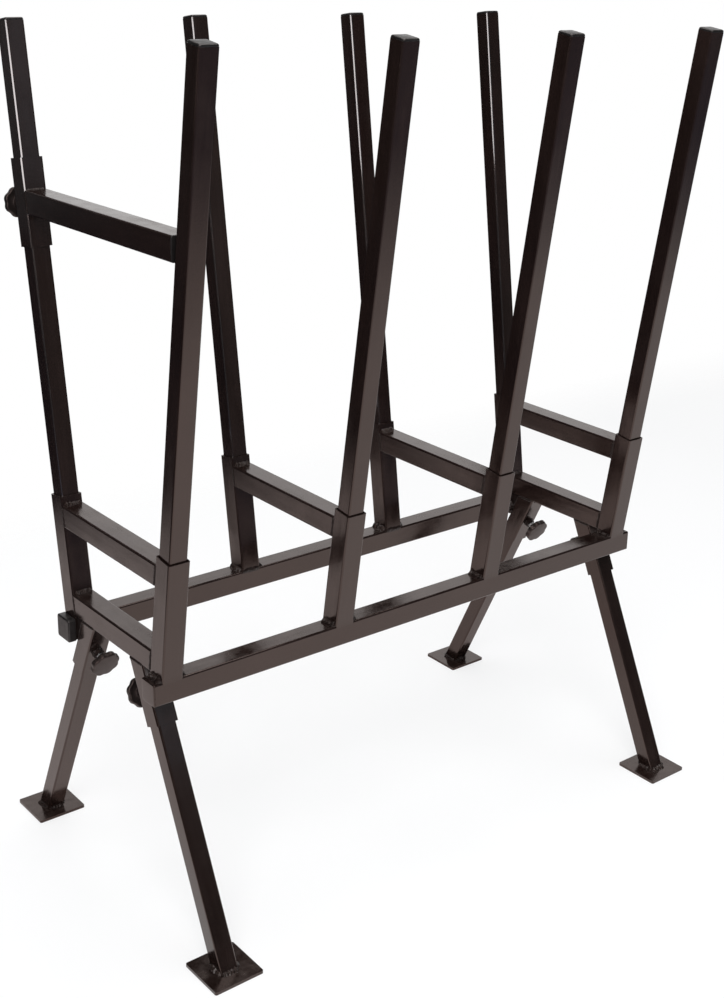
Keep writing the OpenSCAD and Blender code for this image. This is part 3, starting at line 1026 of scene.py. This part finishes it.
clamp_at = clamp_screw_frame()
piece("knob_clamp", knob_mesh(), clamp_at, KNOB_BLACK, "clamp_knob", ["clamp_knob"])
piece("thread_clamp", screw_mesh(SLEEVE, UPRIGHT), clamp_at, STEEL, "clamp_screw", ["clamp_screw"],
      SHARP_THREAD)
piece("weld_nut_clamp", nut_mesh(), clamp_at, WELD, "log_clamp", ["clamp_weld_nut"], SHARP_NUT)
piece("plug_arm", plug_mesh(ARM / 2, ARM_WALL, ARM_PLUG_EDGE), arm_end_frame(), CAP_BLACK, "log_clamp",
      ["clamp_arm_plug"])
clamp_welds()

for end, side, label in ((-1, -1, "near_left"), (1, -1, "near_right"), (1, 1, "far_right")):
    piece(f"plug_rail_{label}", plug_mesh(RAIL / 2, RAIL_WALL, PLUG_EDGE), rail_end_frame(end, side), PAINT,
          "root", ["rail_end_caps"])
piece("slip_cap_rail_far_left", slip_cap_mesh(), rail_end_frame(-1, 1), CAP_BLACK, "root", ["rail_end_caps"])


# Camera, fitted to the photograph: pixels for the lens, metres and degrees for its place

PHOTO_W, PHOTO_H = 724, 998
FOCAL = 1475.472
CENTRE_X, CENTRE_Y = 390.027, 449.322
SENSOR = 36.0
CAMERA_PLACE = (-1.21499, -1.52259, 1.21184)
YAW = math.radians(39.5333)
DIVE = math.radians(19.0402)
ROLL = math.radians(1.4246)

forward = Vector((math.sin(YAW) * math.cos(DIVE), math.cos(YAW) * math.cos(DIVE), -math.sin(DIVE)))
level = Vector((math.cos(YAW), -math.sin(YAW), 0))
lift = level.cross(forward)
right = level * math.cos(ROLL) + lift * math.sin(ROLL)
above = lift * math.cos(ROLL) - level * math.sin(ROLL)
lens = bpy.data.cameras.new("camera")
lens.sensor_width = SENSOR
lens.lens = FOCAL * SENSOR / PHOTO_H
lens.shift_x = (PHOTO_W / 2 - CENTRE_X) / PHOTO_H
lens.shift_y = (CENTRE_Y - PHOTO_H / 2) / PHOTO_H
camera = bpy.data.objects.new("camera", lens)
camera.matrix_world = move(*CAMERA_PLACE) @ Matrix((right, above, -forward)).transposed().to_4x4()
bpy.context.scene.collection.objects.link(camera)
bpy.context.scene.camera = camera


# Studio, in metres: a white floor with soft edges; what lies around it shows only in the gloss of the paint,
# as do dark cards and a browner band of painted shade on the floor

FLOOR_X = (-1.3, 3.0)
FLOOR_Y = (-2.3, 1.35)
FLOOR_FADES = (("X", FLOOR_X[0], -0.95), ("X", FLOOR_X[1], 1.7),
               ("Y", FLOOR_Y[0], -1.3), ("Y", FLOOR_Y[1], 1.05))
FLOOR_WHITE = (0.92, 0.92, 0.92)
FLOOR_SHINE = 0.6
# The band of painted shade on the floor, along Y, and its colour
PAINTED_SHADE_Y = (-0.15, 0.15)
SHADE_BROWN = (0.64, 0.53, 0.50)
WHITE = (1.0, 1.0, 1.0)
DIM_BROWN = (1.0, 0.88, 0.82)
DIM_BLUE = (0.66, 0.71, 1.0)
STREAK_BLUE = (0.85, 0.94, 1.0)
STRIP_WHITE = (1.0, 0.96, 0.97)
PANEL_BLUE = (0.62, 0.82, 1.0)
SKY = (0.95, 0.97, 1.0)
ROOM_R = 5.0
ROOM_HEIGHT = 3.5
GROUND_R = 40.0
GROUND_Z = -0.01
CARD_Z = 0.002
# Dark cards on the floor that show only in the gloss: painted shade in the reflections of the tubes
SHADE_CARDS = (((-0.62, 0.64), (0.3, 0.64), (0.3, 0.82), (-0.68, 0.82)),
         ((-0.43, 0.82), (0.3, 0.82), (0.3, 0.90), (-0.43, 0.90)),
         ((-0.72, 0.82), (-0.69, 0.82), (-0.69, 1.3), (-0.84, 1.3)))
DISC_POINTS = 96
WALL_STEPS = 64
AIM = (0, 0, 0.4)


def stage_mesh(name, verts, faces, material):
    mesh = bpy.data.meshes.new(name)
    mesh.from_pydata(verts, [], faces)
    mesh.materials.append(material)
    obj = bpy.data.objects.new(name, mesh)
    bpy.context.scene.collection.objects.link(obj)
    return obj


def only_in_reflections(obj):
    obj.visible_camera = False
    obj.visible_diffuse = False
    obj.visible_shadow = False
    obj.visible_transmission = False


def arc(radius, z, start, end, steps, climb=0.0):
    """Points on an arc around the origin that climbs; the angles are azimuths in degrees from +X."""
    shares = [k / steps for k in range(steps + 1)]
    angles = [math.radians(start + (end - start) * t) for t in shares]
    return [(radius * math.cos(a), radius * math.sin(a), z + climb * t) for a, t in zip(angles, shares)]


def disc(name, radius, z, material):
    rim = arc(radius, z, 0, 360 - 360 / DISC_POINTS, DISC_POINTS - 1)
    only_in_reflections(stage_mesh(name, rim, [tuple(range(DISC_POINTS))], material))


def curved_wall(name, material, radius, low, high, start, end, climb=0.0):
    verts = arc(radius, low, start, end, WALL_STEPS, climb) + arc(radius, high, start, end, WALL_STEPS, climb)
    row = WALL_STEPS + 1
    faces = [(k, k + 1, row + k + 1, row + k) for k in range(WALL_STEPS)]
    only_in_reflections(stage_mesh(name, verts, faces, material))


def floor_material():
    """White floor that keeps the shadow and fades out at its edges.

    Only the gloss of the paint sees painted shade on it: the floor is browner on the far side of the stand.
    """
    n = material_nodes("floor_white")
    # Painted shade: the floor is browner on the far side of the stand, for glossy rays only
    painted_shade = n.math("MULTIPLY", n.ramp(n.axis("Y"), *PAINTED_SHADE_Y), n.ray("Glossy"))
    shine = n.shader("ShaderNodeEmission", Color=n.mix(painted_shade, WHITE, SHADE_BROWN))
    flat = n.shader("ShaderNodeBsdfDiffuse", Color=FLOOR_WHITE)
    lit = n.mix_shaders(n.math("MULTIPLY", n.background_rays(), FLOOR_SHINE), flat, shine)
    cover = 1.0
    for axis, clear_at, full_at in FLOOR_FADES:
        cover = n.math("MULTIPLY", n.ramp(n.axis(axis), clear_at, full_at), cover)
    return n.finish(n.mix_shaders(cover, n.shader("ShaderNodeBsdfTransparent"), lit))


def glow_material(name, color, strength):
    """An even glow for a stage piece."""
    n = material_nodes(name)
    return n.finish(n.shader("ShaderNodeEmission", Color=color, Strength=strength))


def ground_material():
    """Dim ground that is a little lighter in front of the stand."""
    n = material_nodes("dark_ground")
    strength = n.ramp(n.axis("Y"), -1.2, -1.8, 0.02, 0.16)
    return n.finish(n.shader("ShaderNodeEmission", Color=DIM_BLUE, Strength=strength))


def wall_material():
    """Dim wall with upright streaks of light."""
    n = material_nodes("dark_room_streaks")
    streaks = n.noise(n.mapping(n.coords(), (0.9, 0.9, 0.12)), 1.6, 2.0)
    strength = n.ramp(streaks, 0.48, 0.75, 0.01, 0.30)
    return n.finish(n.shader("ShaderNodeEmission", Color=STREAK_BLUE, Strength=strength))


def lamp(name, place, width, height, power):
    """A soft rectangular lamp that points at the stand."""
    data = bpy.data.lights.new(name, "AREA")
    data.shape = "RECTANGLE"
    data.size = width
    data.size_y = height
    data.energy = power
    obj = bpy.data.objects.new(name, data)
    obj.location = place
    obj.rotation_euler = (Vector(AIM) - Vector(place)).to_track_quat("-Z", "Y").to_euler()
    obj.visible_camera = False
    bpy.context.scene.collection.objects.link(obj)


def studio_world():
    """Soft light on the object, and white for the rays that see the background."""
    n = Nodes(bpy.data.worlds.new("studio"), "ShaderNodeOutputWorld")
    soft = n.shader("ShaderNodeBackground", Color=SKY, Strength=0.5)
    white = n.shader("ShaderNodeBackground", Color=WHITE, Strength=1.0)
    return n.finish(n.mix_shaders(n.background_rays(), soft, white))


floor_corners = [(FLOOR_X[0], FLOOR_Y[0], 0), (FLOOR_X[1], FLOOR_Y[0], 0), (FLOOR_X[1], FLOOR_Y[1], 0),
                 (FLOOR_X[0], FLOOR_Y[1], 0)]
stage_mesh("floor", floor_corners, [(0, 1, 2, 3)], floor_material())
dark = glow_material("dark_room", DIM_BROWN, strength=0.02)
strip = glow_material("bright_strip", STRIP_WHITE, strength=2.3)
panel = glow_material("grey_panel", PANEL_BLUE, strength=0.55)
disc("room_ground", GROUND_R, GROUND_Z, ground_material())
# Painted shade: dark cards on the floor, seen only in reflections
only_in_reflections(stage_mesh("painted_shade_card", [(x, y, CARD_Z) for card in SHADE_CARDS for x, y in card],
                               [tuple(range(4 * k, 4 * k + 4)) for k in range(len(SHADE_CARDS))], dark))
disc("room_ceiling", ROOM_R, ROOM_HEIGHT, dark)
curved_wall("room_wall", wall_material(), radius=ROOM_R, low=GROUND_Z, high=ROOM_HEIGHT, start=100, end=355)
curved_wall("room_strip", strip, radius=3.0, low=0.78, high=1.34, start=166, end=252, climb=0.47)
curved_wall("room_panel", panel, radius=4.5, low=1.4, high=2.4, start=286, end=299)

lamp("key", place=(-2.0, -2.2, 3.4), width=2.4, height=2.0, power=95.0)
lamp("overhead", place=(0.3, 0.2, 3.3), width=2.4, height=2.4, power=55.0)
bpy.context.scene.world = studio_world()
bpy.context.scene.view_settings.view_transform = "Standard"
